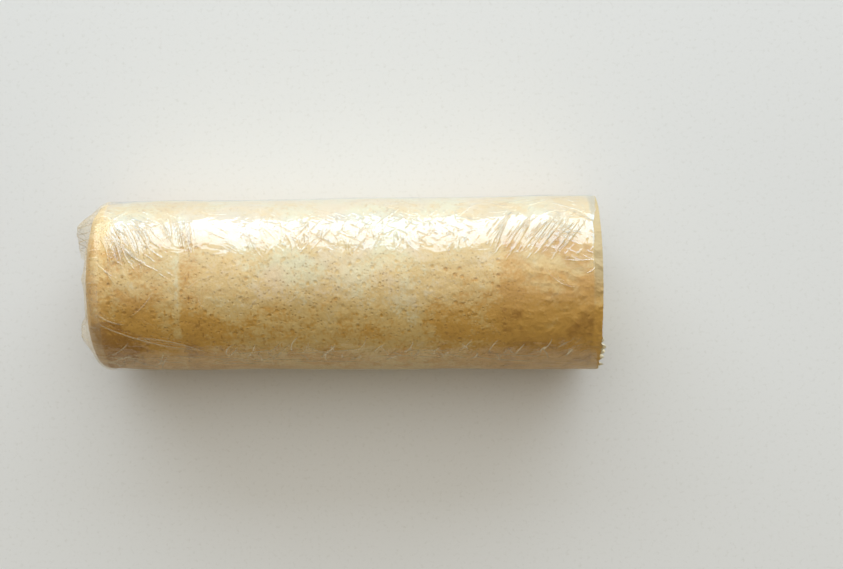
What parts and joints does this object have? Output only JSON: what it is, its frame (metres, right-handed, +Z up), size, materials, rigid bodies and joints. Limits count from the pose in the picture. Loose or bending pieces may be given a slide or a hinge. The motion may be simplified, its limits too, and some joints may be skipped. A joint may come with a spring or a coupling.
{
  "type": "savory swiss roll",
  "caption": "Savoury rolled sponge with a spiral of soft cream and sliced ham, wrapped in clear film that is open at its cut end.",
  "frame": {"origin": "on the table, under the middle of the wrapped roll's bounding box", "axes": "+X along the roll towards its cut end, +Z up; the seam and the flat spot are underneath"},
  "size_m": [0.263, 0.0908, 0.0829],
  "materials": {
    "sponge": "baked sponge: a thin golden-tan pored crust outside, pale cream-yellow open crumb at the cut",
    "cream_filling": "moist white soft-cheese cream with chopped grey-brown pieces",
    "ham": "moist sliced cooked ham, dusky pink",
    "cling_film": "clear stretched plastic film, glossy and finely creased"
  },
  "bodies": {
    "root": {"sponge": "sponge", "cream_filling": "cream_filling", "ham_inner": "ham", "ham_middle": "ham", "ham_outer": "ham", "cling_film": "cling_film"}
  },
  "joints": []
}
